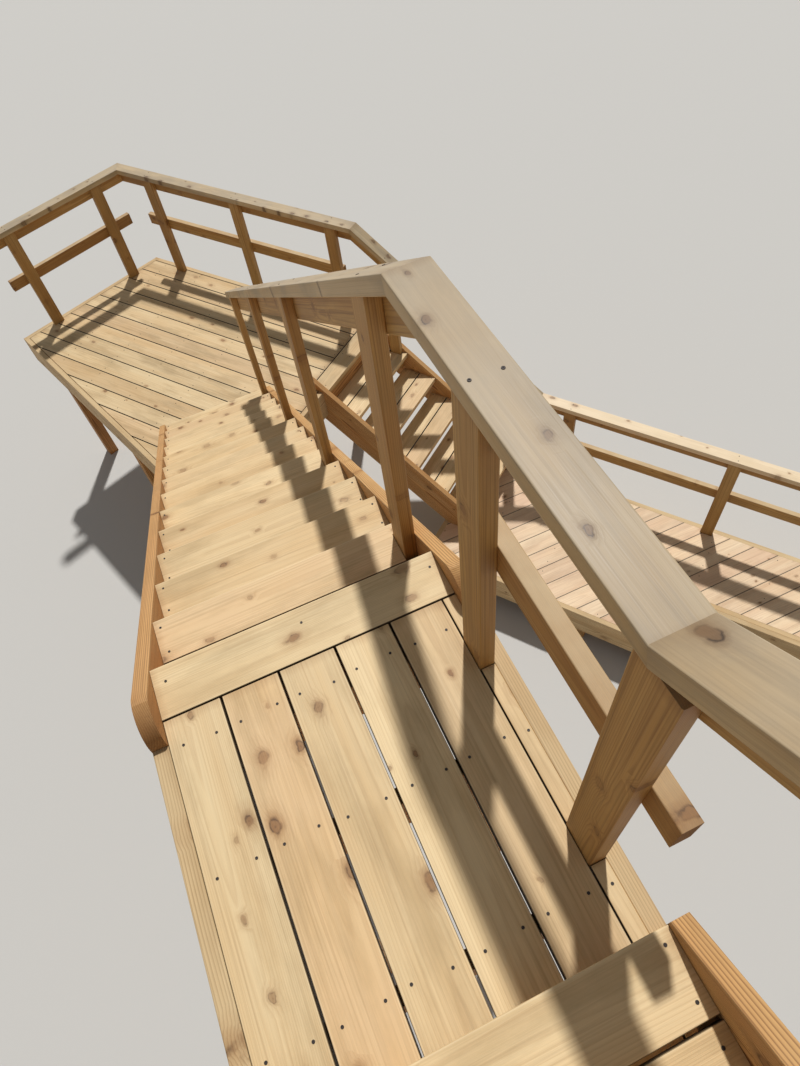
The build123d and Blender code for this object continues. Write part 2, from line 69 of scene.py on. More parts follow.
# Timber finishes. All of it is western softwood: pale straw sapwood, honey and pinkish heartwood,
# small tight knots. Colours are of sound wood in plain light, sizes are in metres, except that some paint
# light in:
# the paler long edges are a painted highlight, the patina on upward faces and the dark gap faces are partly
# painted light and shade, and the pale platform cap is a lit copy.
soundTimber = {                   # what a finish has unless it says otherwise
    "halo": "#966634", "core": "#80552E", "bark": "#3A2413", "faintestKnot": 0.35,
    "gap": "#33261A", "gapShadeAndDirt": 0.0,            # painted shade, with dirt and damp, where boards face each other across a gap
    "gapSlope": (0.93, 0.60),     # the rise of a face's normal, where it is clean and where it takes the full painted shade and dirt
    "ringWidth": 0.0034, "pithDepth": (0.040, 0.110),
    "roughness": (0.50, 0.70), "bump": 0.40,
}
finishes = {
    "planedCedarDecking": {       # planed and eased boards, new: faint straight grain, dry and dull
        "straw": "#E9CF9F", "honey": "#DCB881", "pink": "#D2A87C",
        "late": "#A67944", "lateShare": 0.26,
        "streak": "#987043", "streakShare": 0.30,
        "patinaAndTopLight": "#CDB892", "patinaAndTopLightShare": 0.30,
        "soil": "#A0855B", "soilShare": 0.42,
        "edgeHighlight": "#F1DCB2", "edgeHighlightShare": 0.45,
        "knotSpacing": 0.100, "knotRadius": 0.013, "knotShare": 0.44,
        "gapShadeAndDirt": 0.88,
    },
    "walkedCedarDecking": {       # the boardwalk: rosier boards, with more painted shade and dirt in their gaps and down their edges
        "straw": "#F1D8B0", "honey": "#E3BF94", "pink": "#D6A986",
        "late": "#A67950", "lateShare": 0.26,
        "streak": "#98704B", "streakShare": 0.34,
        "patinaAndTopLight": "#D0B9A0", "patinaAndTopLightShare": 0.30,
        "soil": "#A68565", "soilShare": 0.36,
        "edgeHighlight": "#F1DCBC", "edgeHighlightShare": 0.20,
        "knotSpacing": 0.120, "knotRadius": 0.011, "knotShare": 0.26,
        "gapShadeAndDirt": 1.0, "gapSlope": (1.05, 0.94),
    },
    "shelteredCedarDecking": {    # the lower landing: duller boards with fewer knots
        "straw": "#E0C698", "honey": "#D2AE79", "pink": "#C79E74",
        "late": "#9C7141", "lateShare": 0.28,
        "streak": "#8C6840", "streakShare": 0.36,
        "patinaAndTopLight": "#C3AF8B", "patinaAndTopLightShare": 0.30,
        "soil": "#957C55", "soilShare": 0.44,
        "edgeHighlight": "#E6D0A6", "edgeHighlightShare": 0.25,
        "knotSpacing": 0.130, "knotRadius": 0.012, "knotShare": 0.28,
        "gapShadeAndDirt": 1.0, "gapSlope": (1.03, 0.88),
    },
    "planedCedarRailing": {       # posts and rails, planed, golden, with darker fibres drawn along them
        "straw": "#C49C5E", "honey": "#AB7D41", "pink": "#9C6B38",
        "late": "#7A481B", "lateShare": 0.40,
        "streak": "#6E431D", "streakShare": 0.55,
        # the paler patina on the tops of posts and rails is partly painted light
        "patinaAndTopLight": "#C9B58F", "patinaAndTopLightShare": 0.60,
        "soil": "#8A6A3E", "soilShare": 0.30,
        "edgeHighlight": "#D2B585", "edgeHighlightShare": 0.40,
        "ringWidth": 0.0030,
        "knotSpacing": 0.110, "knotRadius": 0.013, "knotShare": 0.46,
        "roughness": (0.48, 0.68),
    },
    "sawnFramingTimber": {        # stringers, cleats, joists and legs: coarser, and the rings stand out
        "straw": "#DBAE71", "honey": "#CB9253", "pink": "#BB8049",
        "late": "#733D16", "lateShare": 0.84,
        "streak": "#784A22", "streakShare": 0.36,
        "patinaAndTopLight": "#BFA476", "patinaAndTopLightShare": 0.22,
        "soil": "#8E6B40", "soilShare": 0.26,
        "edgeHighlight": "#DFBE8A", "edgeHighlightShare": 0.30,
        "ringWidth": 0.0033, "pithDepth": (0.070, 0.150),
        "knotSpacing": 0.140, "knotRadius": 0.017, "knotShare": 0.44,
        "roughness": (0.60, 0.80), "bump": 0.60,
    },
    "sawnRimTimber": {            # the rims round the decks have bleached more than the stringers
        "straw": "#DEC292", "honey": "#CDA874", "pink": "#BF9668",
        "late": "#8A5F34", "lateShare": 0.60,
        "streak": "#886039", "streakShare": 0.34,
        "patinaAndTopLight": "#C3AE88", "patinaAndTopLightShare": 0.40,
        "soil": "#92744B", "soilShare": 0.28,
        "edgeHighlight": "#E2CBA0", "edgeHighlightShare": 0.30,
        "ringWidth": 0.0036, "pithDepth": (0.060, 0.140),
        "knotSpacing": 0.140, "knotRadius": 0.015, "knotShare": 0.36,
        "roughness": (0.60, 0.80), "bump": 0.55,
    },
    "weatheredCapRail": {         # hands and weather have polished its top; its greyer top is weathering and partly painted shade and sheen
        "straw": "#D2B98E", "honey": "#AE9064", "pink": "#AB8A62",
        "late": "#8C6E48", "lateShare": 0.16,
        "streak": "#7E6445", "streakShare": 0.34,
        "patinaAndTopLight": "#A39680", "patinaAndTopLightShare": 0.70,
        "soil": "#877A67", "soilShare": 0.55,
        "edgeHighlight": "#DFCFAF", "edgeHighlightShare": 0.55,
        "ringWidth": 0.0032, "pithDepth": (0.045, 0.120),
        "knotSpacing": 0.090, "knotRadius": 0.012, "knotShare": 0.80, "faintestKnot": 0.70,
        "halo": "#7F6343", "core": "#6B4D31", "bark": "#2B1F17",
        "roughness": (0.36, 0.56), "bump": 0.30,
    },
    "sunlitCapRail": {             # painted light: a paler copy of the cap rail for the cap along the platform, as it looks in full sun
        "straw": "#F6E6C6", "honey": "#EBD3A8", "pink": "#E2C29C",
        "late": "#A97F52", "lateShare": 0.16,
        "streak": "#A98052", "streakShare": 0.20,
        "patinaAndTopLight": "#EADCBE", "patinaAndTopLightShare": 0.30,
        "soil": "#B79E78", "soilShare": 0.22,
        "edgeHighlight": "#F8ECD2", "edgeHighlightShare": 0.40,
        "ringWidth": 0.0032, "pithDepth": (0.045, 0.120),
        "knotSpacing": 0.120, "knotRadius": 0.013, "knotShare": 0.50,
        "roughness": (0.45, 0.62), "bump": 0.30,
    },
}
finishes = {name: {**soundTimber, **look} for name, look in finishes.items()}


def setStops(ramp, stops):
    steps = ramp.color_ramp.elements         # a new ramp has one at each end
    steps[0].color = (*stops[0][1], 1)
    steps[1].color = (*stops[-1][1], 1)
    for place, colour in stops[1:-1]:
        steps.new(place).color = (*colour, 1)


def stretchedNoise(tree, place, scale, detail, roughness=0.5):
    place = addNode(tree, "ShaderNodeVectorMath", {0: place, 1: scale}, operation="MULTIPLY")
    return addNode(tree, "ShaderNodeTexNoise", {"Vector": place, "Scale": 1.0, "Detail": detail,
                                                "Roughness": roughness})


# Knots are the stubs of branches. They pass through the board from face to face, so their pattern is flat.
knotDrawing = {
    "outlineScale": 42.0,                    # the outline is uneven over about 24 mm
    "outlineWander": 0.016,                  # and wanders by up to 8 mm each way
    "lengthwise": (0.65, 1.0, 1.0),          # drawn out along the board, as a slanting branch is
    "scatter": 0.8,
    "footprint": 4,                          # halo and all, in radii of the stub
    "smallest": 0.3,                         # of the largest footprint
    "profile": (                             # from the middle outwards: stub, bark and halo
        (0.0, (1, 0.6, 1)), (0.06, (1, 0.1, 1)), (0.16, (0.9, 0.2, 1)), (0.21, (0.7, 0.9, 1)),
        (0.28, (0.1, 0.2, 0.9)), (0.48, (0, 0, 0.34)), (0.85, (0, 0, 0)), (1.0, (0, 0, 0)),
    ),
    "barkSpan": (0.42, 0.60),                # of the uneven noise, from broken bark to a whole ring of it
    "barkShare": (0.15, 0.95),
    "haloShare": 0.55,
    "coreShare": 0.72,
}


def drawKnots(tree, board, look):
    uneven = addNode(tree, "ShaderNodeTexNoise", {"Vector": board, "Scale": knotDrawing["outlineScale"],
                                                  "Detail": 4.0})
    wander = addNode(tree, "ShaderNodeVectorMath", {0: uneven.outputs["Color"],
                                                    "Scale": knotDrawing["outlineWander"]}, operation="SCALE")
    place = addNode(tree, "ShaderNodeVectorMath", {0: board, 1: knotDrawing["lengthwise"], 2: wander},
                    operation="MULTIPLY_ADD")
    knots = addNode(tree, "ShaderNodeTexVoronoi", {"Vector": place, "Scale": 1 / look["knotSpacing"],
                                                   "Randomness": knotDrawing["scatter"]},
                    voronoi_dimensions="2D")
    chance = addNode(tree, "ShaderNodeSeparateColor", {0: knots.outputs["Color"]}).outputs
    bareShare = 1 - look["knotShare"]
    largest = knotDrawing["footprint"] * look["knotRadius"] / look["knotSpacing"]
    reach = addNode(tree, "ShaderNodeMapRange", {0: chance[0], 1: bareShare, 2: 1.0,
                                                 3: knotDrawing["smallest"] * largest, 4: largest})
    present = addNode(tree, "ShaderNodeMath", {0: chance[0], 1: bareShare}, operation="GREATER_THAN")
    outward = addNode(tree, "ShaderNodeMath", {0: knots.outputs["Distance"], 1: reach}, operation="DIVIDE")
    profile = addNode(tree, "ShaderNodeValToRGB", {0: outward})
    setStops(profile, knotDrawing["profile"])
    strength = addNode(tree, "ShaderNodeMapRange", {0: chance[1], 1: 0.0, 2: 1.0,
                                                    3: look["faintestKnot"], 4: 1.0})
    strength = addNode(tree, "ShaderNodeMath", {0: strength, 1: present}, operation="MULTIPLY")
    knot = addNode(tree, "ShaderNodeVectorMath", {0: profile.outputs["Color"], "Scale": strength},
                   operation="SCALE")
    stub, bark, halo = addNode(tree, "ShaderNodeSeparateXYZ", {0: knot}).outputs
    low, high = knotDrawing["barkSpan"]
    least, most = knotDrawing["barkShare"]
    barkShare = addNode(tree, "ShaderNodeMapRange", {0: uneven, 1: low, 2: high, 3: least, 4: most})
    barkShare = addNode(tree, "ShaderNodeMath", {0: bark, 1: barkShare}, operation="MULTIPLY")
    return stub, barkShare, halo


# Growth rings lie round the middle of the tree, 3 to 4 mm apart as in the real wood
ringDrawing = {
    "drift": ((0.7, 6.0, 6.0), 2.0),         # they wander over about 170 mm of the log's width,
    "wander": 0.022,                         # by a few millimetres, as the noise stays near its middle,
    "bend": 0.010,                           # and bend round a knot
    "profile": ((0.0, 0.15), (0.10, 0.0), (0.55, 0.15), (0.82, 0.85), (0.93, 1.0), (1.0, 0.20)),
}


def drawRings(tree, halo, look):
    log = addNode(tree, "ShaderNodeAttribute", attribute_name="logSpace").outputs["Vector"]
    drift = stretchedNoise(tree, log, *ringDrawing["drift"])
    radial = addNode(tree, "ShaderNodeVectorMath", {0: log, 1: (0.0, 1.0, 1.0)}, operation="MULTIPLY")
    radial = addNode(tree, "ShaderNodeVectorMath", {0: radial}, operation="LENGTH")
    radial = addNode(tree, "ShaderNodeMath", {0: drift, 1: ringDrawing["wander"], 2: radial},
                     operation="MULTIPLY_ADD")
    radial = addNode(tree, "ShaderNodeMath", {0: halo, 1: ringDrawing["bend"], 2: radial},
                     operation="MULTIPLY_ADD")
    year = addNode(tree, "ShaderNodeMath", {0: radial, 1: look["ringWidth"]}, operation="DIVIDE")
    year = addNode(tree, "ShaderNodeMath", {0: year}, operation="FRACT")
    ring = addNode(tree, "ShaderNodeValToRGB", {0: year})
    setStops(ring, [(place, (dark, dark, dark)) for place, dark in ringDrawing["profile"]])
    return ring


# Wear and painted light: a painted highlight on the long eased edges, where they catch the light, ends that
# have drawn in damp and dirt, and painted shade with dirt in the gaps between boards.
# Each span is a share of the board's half width or half length, from no mark to the full mark.
wearAndPaintedLight = {
    "edgeHighlightSpan": (0.93, 0.985),
    "edgeHighlightGain": 2,                           # makes up for the blotches, which halve it
    "endSpan": (0.97, 1.02),
    "endWander": 0.04,
    "endShare": 0.35,
    "gapEndSpan": (0.985, 0.998),
    "gapSideSpan": (0.94, 0.97),
}


def drawWearAndPaintedLight(tree, look, bands, blotch, facingUp):
    within = addNode(tree, "ShaderNodeAttribute", attribute_name="boardShare").outputs["Vector"]
    within = addNode(tree, "ShaderNodeVectorMath", {0: within}, operation="ABSOLUTE")
    lengthwise, across, through = addNode(tree, "ShaderNodeSeparateXYZ", {0: within}).outputs
    # painted highlight: the eased long edges are made paler, where they would catch the light
    low, high = wearAndPaintedLight["edgeHighlightSpan"]
    edgeHighlightShare = addNode(tree, "ShaderNodeMath", {0: across, 1: through}, operation="MULTIPLY")
    edgeHighlightShare = addNode(tree, "ShaderNodeMapRange", {0: edgeHighlightShare, 1: low, 2: high, 3: 0.0,
                                                     4: wearAndPaintedLight["edgeHighlightGain"] * look["edgeHighlightShare"]})
    edgeHighlightShare = addNode(tree, "ShaderNodeMath", {0: edgeHighlightShare, 1: blotch}, operation="MULTIPLY")
    low, high = wearAndPaintedLight["endSpan"]
    endShare = addNode(tree, "ShaderNodeMath", {0: bands, 1: wearAndPaintedLight["endWander"], 2: lengthwise},
                       operation="MULTIPLY_ADD")
    endShare = addNode(tree, "ShaderNodeMapRange", {0: endShare, 1: low, 2: high, 3: 0.0,
                                                    4: wearAndPaintedLight["endShare"]})
    # painted shade, with dirt: faces that look across a gap at other timber are darkened
    gaps = addNode(tree, "ShaderNodeAttribute", attribute_name="boardGap").outputs["Vector"]
    gaps = addNode(tree, "ShaderNodeSeparateXYZ", {0: gaps}).outputs
    low, high = wearAndPaintedLight["gapEndSpan"]
    atEnd = addNode(tree, "ShaderNodeMapRange", {0: lengthwise, 1: low, 2: high})
    atEnd = addNode(tree, "ShaderNodeMath", {0: atEnd, 1: gaps[0]}, operation="MULTIPLY")
    low, high = wearAndPaintedLight["gapSideSpan"]
    atSide = addNode(tree, "ShaderNodeMapRange", {0: across, 1: low, 2: high})
    atSide = addNode(tree, "ShaderNodeMath", {0: atSide, 1: gaps[1]}, operation="MULTIPLY")
    gapShadeAndDirtShare = addNode(tree, "ShaderNodeMath", {0: atEnd, 1: atSide}, operation="MAXIMUM")
    clean, full = look["gapSlope"]
    steepness = addNode(tree, "ShaderNodeMapRange", {0: facingUp, 1: clean, 2: full, 3: 0.0,
                                                     4: look["gapShadeAndDirt"]})
    gapShadeAndDirtShare = addNode(tree, "ShaderNodeMath", {0: gapShadeAndDirtShare, 1: steepness}, operation="MULTIPLY")
    return edgeHighlightShare, endShare, gapShadeAndDirtShare


# The figure of the wood. A pattern is its patches in a metre along, across and through the board, its detail
# and its roughness. A span runs over the noise from no mark to the finish's full share of it.
figure = {
    "fibres": ((8.0, 560.0, 560.0), 3.0),        # about 2 mm wide, drawn coarser than real ones
    "streaks": ((1.4, 190.0, 190.0), 2.0),       # about 5 mm wide, darker wood
    "streakSpan": (0.50, 0.72),
    "bands": ((1.3, 16.0, 16.0), 2.0),           # about 60 mm wide
    "soil": ((2.6, 11.0, 11.0), 5.0, 0.62),      # about 90 mm wide, trodden in
    "soilSpan": (0.46, 0.66),
    "blotchScale": 6.0,                          # about 170 mm, the length of a hand
    "honeyStart": -0.95,                         # honey heartwood: none at all from here,
    "honeyTone": 0.7,                            # plus up to this much by the board's own tone,
    "honeyBands": 2.2,                           # and by the bands along it
    "pinkPower": 3.0,                            # few boards are pink
    "patinaAndTopLightGain": 1.8,                           # makes up for the blotches, which halve it
    "endBrightness": 0.66,                       # cut fibres drink in the light
    "faceBrightness": 0.80,
    "toneBrightness": 0.12,                      # what the board's own tone, its fibres and its blotches add
    "fibreBrightness": 0.18,
    "blotchBrightness": 0.16,
    "ringRelief": 0.5,                           # beside that of the fibres
    "knotRelief": 0.8,
}


def drawFigure(tree, board, look):
    fibres = stretchedNoise(tree, board, *figure["fibres"])
    bands = stretchedNoise(tree, board, *figure["bands"])
    blotch = addNode(tree, "ShaderNodeTexNoise", {"Vector": board, "Scale": figure["blotchScale"],
                                                  "Detail": 3.0})
    low, high = figure["streakSpan"]
    streak = stretchedNoise(tree, board, *figure["streaks"])
    streakShare = addNode(tree, "ShaderNodeMapRange", {0: streak, 1: low, 2: high, 3: 0.0,
                                                       4: look["streakShare"]})
    low, high = figure["soilSpan"]
    soil = stretchedNoise(tree, board, *figure["soil"])
    soilShare = addNode(tree, "ShaderNodeMapRange", {0: soil, 1: low, 2: high, 3: 0.0,
                                                     4: look["soilShare"]})
    return fibres, bands, blotch, streakShare, soilShare


def drawTones(tree, look, bands, blotch, facingUp):
    # boards differ in heartwood and in brightness, and what faces the sky takes the patina colour, which is
    # weathering and partly painted light on the tops
    tone = addNode(tree, "ShaderNodeAttribute", attribute_name="boardTone").outputs["Vector"]
    honeyTone, pinkTone, paleTone = addNode(tree, "ShaderNodeSeparateXYZ", {0: tone}).outputs
    honeyShare = addNode(tree, "ShaderNodeMath", {0: honeyTone, 1: figure["honeyTone"],
                                                  2: figure["honeyStart"]}, operation="MULTIPLY_ADD")
    honeyShare = addNode(tree, "ShaderNodeMath", {0: bands, 1: figure["honeyBands"], 2: honeyShare},
                         operation="MULTIPLY_ADD", use_clamp=True)
    pinkShare = addNode(tree, "ShaderNodeMath", {0: pinkTone, 1: figure["pinkPower"]}, operation="POWER")
    pinkShare = addNode(tree, "ShaderNodeMath", {0: pinkShare, 1: blotch}, operation="MULTIPLY")
    mostPatina = figure["patinaAndTopLightGain"] * look["patinaAndTopLightShare"]
    patinaAndTopLightShare = addNode(tree, "ShaderNodeMath", {0: facingUp, 1: mostPatina}, operation="MULTIPLY",
                          use_clamp=True)
    patinaAndTopLightShare = addNode(tree, "ShaderNodeMath", {0: patinaAndTopLightShare, 1: blotch}, operation="MULTIPLY")
    return paleTone, honeyShare, pinkShare, patinaAndTopLightShare


def woodColour(tree, look, endGrain):
    board = addNode(tree, "ShaderNodeAttribute", attribute_name="boardSpace").outputs["Vector"]
    surface = addNode(tree, "ShaderNodeNewGeometry").outputs["Normal"]
    facingUp = addNode(tree, "ShaderNodeSeparateXYZ", {0: surface}).outputs[2]
    fibres, bands, blotch, streakShare, soilShare = drawFigure(tree, board, look)
    paleTone, honeyShare, pinkShare, patinaAndTopLightShare = drawTones(tree, look, bands, blotch, facingUp)
    stub, barkShare, halo = drawKnots(tree, board, look)
    haloShare = addNode(tree, "ShaderNodeMath", {0: halo, 1: knotDrawing["haloShare"]}, operation="MULTIPLY")
    coreShare = addNode(tree, "ShaderNodeMath", {0: stub, 1: knotDrawing["coreShare"]}, operation="MULTIPLY")
    ring = drawRings(tree, halo, look)
    lateShare = addNode(tree, "ShaderNodeMath", {0: ring, 1: 1.0 if endGrain else look["lateShare"]},
                        operation="MULTIPLY")
    edgeHighlightShare, endShare, gapShadeAndDirtShare = drawWearAndPaintedLight(tree, look, bands, blotch, facingUp)

    # painted light among the tints: the paler long edges are a painted highlight, the patina is partly
    # painted light on upward faces, and the gap colour is partly painted shade
    colour = linearColour(look["straw"])
    for share, tint in ((honeyShare, "honey"), (pinkShare, "pink"), (lateShare, "late"),
                        (streakShare, "streak"), (patinaAndTopLightShare, "patinaAndTopLight"), (soilShare, "soil"),
                        (endShare, "streak"), (edgeHighlightShare, "edgeHighlight"), (haloShare, "halo"), (coreShare, "core"),
                        (barkShare, "bark"), (gapShadeAndDirtShare, "gap")):
        colour = addNode(tree, "ShaderNodeMix", {0: share, 6: colour, 7: linearColour(look[tint])},
                         data_type="RGBA")

    shade = figure["endBrightness"] if endGrain else figure["faceBrightness"]
    for source, gain in ((paleTone, "toneBrightness"), (fibres, "fibreBrightness"),
                         (blotch, "blotchBrightness")):
        shade = addNode(tree, "ShaderNodeMath", {0: source, 1: figure[gain], 2: shade},
                        operation="MULTIPLY_ADD")
    shade = addNode(tree, "ShaderNodeCombineColor", {0: shade, 1: shade, 2: shade})
    colour = addNode(tree, "ShaderNodeMix", {0: 1.0, 6: colour, 7: shade}, data_type="RGBA",
                     blend_type="MULTIPLY")
    relief = fibres
    for source, gain in ((ring, "ringRelief"), (stub, "knotRelief")):
        relief = addNode(tree, "ShaderNodeMath", {0: source, 1: figure[gain], 2: relief},
                         operation="MULTIPLY_ADD")
    return colour, relief, fibres


drySurface = {
    "endRoughness": (0.9, 1.0),      # end grain is matt, whatever its finish
    "reliefDepth": 0.0005,
    "ior": 1.5,
    "specular": 0.35,
}


def makeTimber(name, look, endGrain=False):
    material = bpy.data.materials.new(name)
    material.use_nodes = True
    tree = material.node_tree
    shader = tree.nodes["Principled BSDF"]
    colour, relief, fibres = woodColour(tree, look, endGrain)
    smooth, rough = drySurface["endRoughness"] if endGrain else look["roughness"]
    roughness = addNode(tree, "ShaderNodeMapRange", {0: fibres, 1: 0.0, 2: 1.0, 3: smooth, 4: rough})
    bump = addNode(tree, "ShaderNodeBump", {"Strength": look["bump"], "Distance": drySurface["reliefDepth"],
                                            "Height": relief})
    tree.links.new(colour.outputs[2], shader.inputs["Base Color"])
    tree.links.new(roughness.outputs[0], shader.inputs["Roughness"])
    tree.links.new(bump.outputs[0], shader.inputs["Normal"])
    shader.inputs["IOR"].default_value = drySurface["ior"]
    shader.inputs["Specular IOR Level"].default_value = drySurface["specular"]
    return material


timbers = {}
for finishName, look in finishes.items():
    timbers[finishName] = (makeTimber(finishName, look),
                           makeTimber(finishName + "EndGrain", look, endGrain=True))
print("timber finishes made,", len(timbers))


# Planks. Each board of a CAD node gets eased long edges, its own place in a log and its own tone.
plank = {
    "weld": 0.00002,
    "flatWithin": 1.0,               # degrees: neighbouring faces closer than this become one
    "easedEdge": 0.0028,
    "easedSteps": 3,
    "easedLength": 0.02,             # shorter edges stay sharp,
    "easedCorner": 0.7,              # and so do corners flatter than this, in radians
    "easedAlong": 0.999,             # and edges that don't run with the grain
    "noLength": 1e-6,
    "sameWay": 0.9998,               # the cosine between two edges that run one way
    "besideGrain": 0.1,              # a long face's normal leans along the grain by less than this,
    "endGrain": 0.45,                # and an end's by more than this
    "lookingDown": -0.01,            # a normal that sinks by more than this is turned over
    "pithAside": 0.040,              # the middle of the tree lies this far to one side at most
    "logLean": 0.010,                # and the log leans off the board by this much in a metre
    "patternShift": 50.0,            # metres, so that no two boards are cut from one stretch of wood
    "gapReach": 0.014,               # timber across a wider gap than this gets neither painted shade nor dirt
    "gapProbes": (-0.6, 0.0, 0.6),   # where a side is tested, as shares of its half length
    "gapHits": 2,
    "probeLift": 0.0002,             # they start just off the wood
}


def renumber(bm):
    bm.normal_update()
    bm.verts.index_update()
    bm.edges.index_update()
    bm.faces.index_update()


def islandsOf(bm):
    bm.verts.ensure_lookup_table()
    seen = set()
    islands = []
    for start in bm.verts:
        if start.index in seen:
            continue
        seen.add(start.index)
        stack, island = [start], []
        while stack:
            vert = stack.pop()
            island.append(vert)
            for edge in vert.link_edges:
                other = edge.other_vert(vert)
                if other.index not in seen:
                    seen.add(other.index)
                    stack.append(other)
        islands.append(sorted(island, key=lambda v: v.index))
    return islands


def linkedTo(island, kind):
    # the edges or faces of a board, in the order of the mesh
    found = {item.index: item for vert in island for item in getattr(vert, kind)}
    return [found[index] for index in sorted(found)]


def grainOf(island):
    totals = []                      # the direction that most of the edge length runs in
    for edge in linkedTo(island, "link_edges"):
        run = edge.verts[1].co - edge.verts[0].co
        length = run.length
        if length < plank["noLength"]:
            continue
        run.normalize()
        for entry in totals:
            if abs(entry[0].dot(run)) > plank["sameWay"]:
                entry[1] += length
                break
        else:
            totals.append([run, length])
    grain = max(totals, key=lambda entry: entry[1])[0].copy()
    lead = max(range(3), key=lambda axis: round(abs(grain[axis]), 4))
    return grain if grain[lead] > 0 else -grain


def boardFrame(island, flat):
    # a flat board lies with its broad face up, however narrow it was ripped
    grain = grainOf(island)
    broad = {}
    for face in linkedTo(island, "link_faces"):
        normal = face.normal
        if abs(normal.dot(grain)) < plank["besideGrain"]:
            key = tuple(round(abs(part), 1) for part in normal)
            area, kept = broad.get(key, (0.0, normal.copy()))
            broad[key] = (area + face.calc_area(), kept)
    if flat:
        through = max(broad.values(), key=lambda entry: round(abs(entry[1].z), 4))[1]
    else:
        through = max(broad.values(), key=lambda entry: round(entry[0], 6))[1]
    through = (through - grain * through.dot(grain)).normalized()
    if through.z < plank["lookingDown"]:
        through = -through
    across = through.cross(grain)
    axes = (grain, across, through)
    spans = [[min(v.co.dot(axis) for v in island), max(v.co.dot(axis) for v in island)] for axis in axes]
    centre = sum((axis * (low + high) / 2 for axis, (low, high) in zip(axes, spans)), Vector())
    half = [(high - low) / 2 for low, high in spans]
    heights = [v.co.z for v in island]
    return {"centre": centre, "axes": axes, "half": half, "bottom": min(heights), "top": max(heights)}


def easeLongEdges(bm):
    chosen = []
    for island in islandsOf(bm):
        grain = grainOf(island)
        for edge in linkedTo(island, "link_edges"):
            run = edge.verts[1].co - edge.verts[0].co
            if run.length < plank["easedLength"] or len(edge.link_faces) != 2:
                continue
            along = abs(run.normalized().dot(grain))
            if along > plank["easedAlong"] and edge.calc_face_angle() > plank["easedCorner"]:
                chosen.append(edge)
    bmesh.ops.bevel(bm, geom=chosen, offset=plank["easedEdge"], offset_type="OFFSET",
                    segments=plank["easedSteps"], profile=0.5, affect="EDGES", clamp_overlap=True)
    renumber(bm)


def growTimberTree():
    # all the timber as one tree for ray casts
    corners, faces = [], []
    for nodeName in sorted(frame["nodes"]):
        mesh = frame["nodes"][nodeName].data
        first = len(corners)
        corners.extend(vert.co.copy() for vert in mesh.vertices)
        faces.extend([first + index for index in face.vertices] for face in mesh.polygons)
    return BVHTree.FromPolygons(corners, faces)


timberTree = growTimberTree()


def facesTimber(place, axis, sign):
    # whether most of this side of a board, or of its end, looks across a gap at other timber
    outward = place["axes"][axis] * sign
    along = place["axes"][1 - axis]
    hits = 0
    for share in plank["gapProbes"]:
        start = place["centre"] + outward * (place["half"][axis] + plank["probeLift"])
        start += along * (share * place["half"][1 - axis])
        if timberTree.ray_cast(start, outward, plank["gapReach"])[0] is not None:
            hits += 1
    return 1.0 if hits >= plank["gapHits"] else 0.0


def layBoard(island, place, look, dice, layers):
    # cuts a board from its own log: where the wood's pattern starts in it, its tone, where its wear and
    # painted edge highlight go, and which sides face a gap and take painted shade
    below = dice.uniform(*look["pithDepth"]) * dice.choice((-1, 1))
    aside = dice.uniform(-1, 1) * plank["pithAside"]
    leanAcross = dice.uniform(-1, 1) * plank["logLean"]
    leanThrough = dice.uniform(-1, 1) * plank["logLean"]
    shift = Vector([dice.uniform(0, plank["patternShift"]) for _ in range(3)])
    tone = (dice.random(), dice.random(), dice.random())
    gaps = {(axis, sign): facesTimber(place, axis, sign) for axis in (0, 1) for sign in (-1, 1)}
    for vert in island:
        offset = vert.co - place["centre"]
        x, y, z = (offset.dot(axis) for axis in place["axes"])
        layers["boardSpace"][vert.index] = (x + shift.x, y + shift.y, z + shift.z)
        layers["logSpace"][vert.index] = (x + shift.x, y + aside + leanAcross * x,
                                          z + below + leanThrough * x)
        layers["boardTone"][vert.index] = tone
        layers["boardShare"][vert.index] = tuple(part / half for part, half in zip((x, y, z), place["half"]))
        layers["boardGap"][vert.index] = (gaps[0, 1 if x > 0 else -1], gaps[1, 1 if y > 0 else -1], 0.0)
    grain = place["axes"][0]
    for face in linkedTo(island, "link_faces"):
        face.material_index = 1 if abs(face.normal.dot(grain)) > plank["endGrain"] else 0


boards = {}                          # node name to its board frames, for the screws


def dressNode(nodeName, finish, slotName):
    dice = random.Random("timber " + nodeName)
    bm = bmesh.new()
    bm.from_mesh(frame["nodes"][nodeName].data)
    bmesh.ops.remove_doubles(bm, verts=bm.verts, dist=plank["weld"])
    bmesh.ops.dissolve_limit(bm, angle_limit=math.radians(plank["flatWithin"]), verts=bm.verts,
                             edges=bm.edges)
    renumber(bm)
    easeLongEdges(bm)
    islands = islandsOf(bm)
    places = [boardFrame(island, slotName == "decking") for island in islands]
    order = sorted(range(len(islands)), key=lambda i: tuple(round(c, 3) for c in places[i]["centre"]))
    boards[nodeName] = [places[i] for i in order]
    layers = {name: [None] * len(bm.verts)
              for name in ("boardSpace", "logSpace", "boardTone", "boardShare", "boardGap")}
    for i in order:
        layBoard(islands[i], places[i], finishes[finish], dice, layers)
    mesh = bpy.data.meshes.new(nodeName + "_timber")
    bm.to_mesh(mesh)
    bm.free()
    for name, values in layers.items():
        layer = mesh.attributes.new(name, "FLOAT_VECTOR", "POINT")
        layer.data.foreach_set("vector", [part for value in values for part in value])
    for material in timbers[finish]:
        mesh.materials.append(material)
    piece = bpy.data.objects.new(nodeName + "_timber", mesh)
    bpy.context.scene.collection.objects.link(piece)
    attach(piece, "root")
    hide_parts(nodeName)
    return piece


